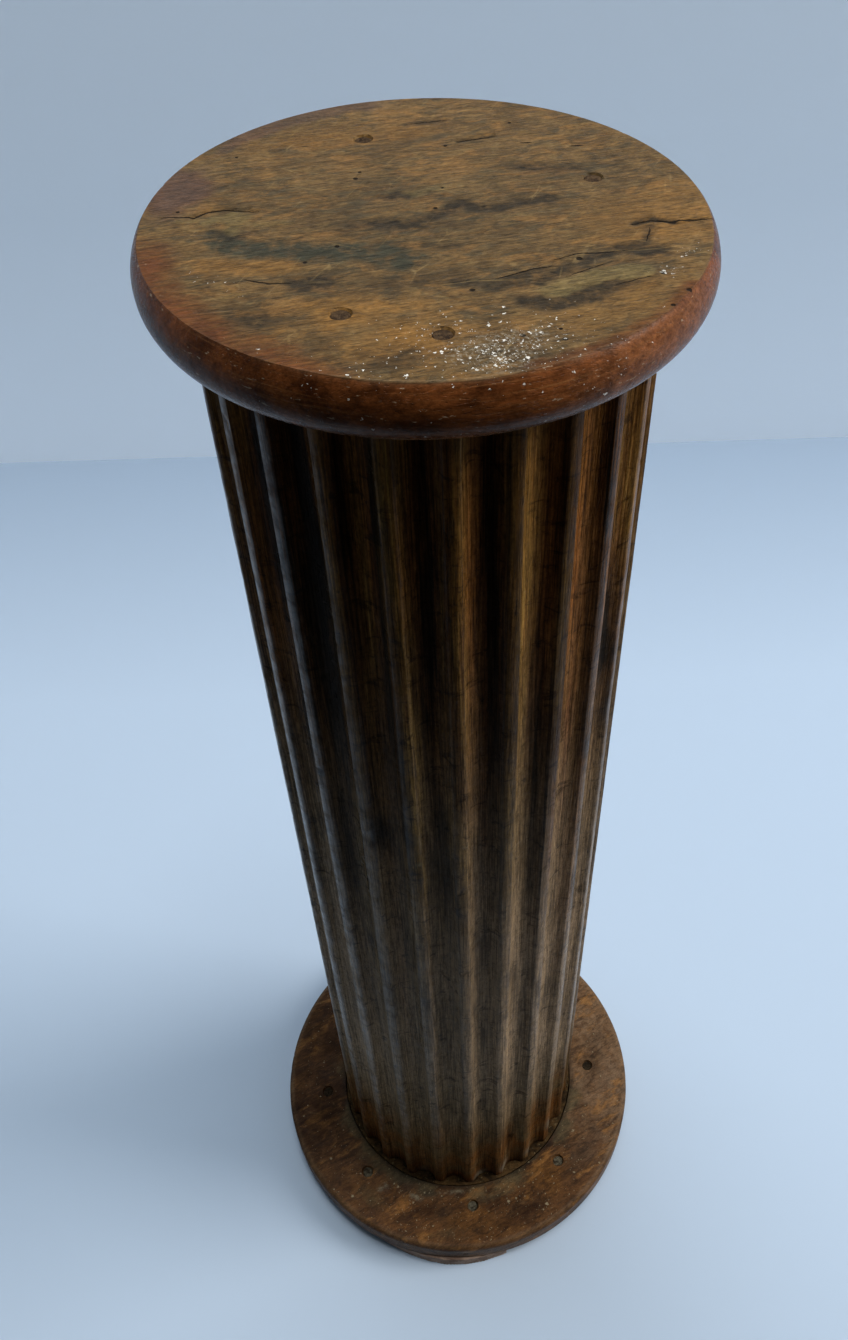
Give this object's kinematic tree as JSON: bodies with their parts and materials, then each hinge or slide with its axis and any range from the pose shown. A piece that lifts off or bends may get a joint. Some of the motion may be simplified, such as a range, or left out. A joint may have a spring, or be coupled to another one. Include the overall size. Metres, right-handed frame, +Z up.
{
  "type": "fluted column",
  "caption": "Free-standing wooden column with a straight fluted shaft between a round, rounded-edge top and a round base on a rough board, used to stand something on.",
  "frame": {"origin": "centre of the underside, on the floor, on the shaft's axis", "axes": "+Z up along the shaft; -Y is the front that the picture shows, +X to its right"},
  "size_m": [0.3658, 0.3681, 1],
  "materials": {
    "worn_top_wood": "worn, stained, with remains of dark varnish at the edge",
    "dark_shaft_wood": "old dark varnish, worn to brown on the fillets",
    "base_wood": "worn red-brown varnish, dusty",
    "foot_wood": "rough sawn, dry",
    "plug_wood": "rough end grain",
    "plug_filler": "dry grey filler"
  },
  "bodies": {
    "root": {"top_disc": "worn_top_wood", "fluted_shaft": "dark_shaft_wood", "base_disc": "base_wood", "foot_board": "foot_wood", "top_plug_1": "plug_wood", "top_plug_2": "plug_wood", "top_plug_3": "plug_wood", "top_plug_4": "plug_wood", "base_plug_1": "plug_filler", "base_plug_2": "plug_filler", "base_plug_3": "plug_filler", "base_plug_4": "plug_filler", "base_plug_5": "plug_filler", "base_plug_6": "plug_filler", "base_plug_7": "plug_filler", "base_plug_8": "plug_filler"}
  },
  "joints": []
}
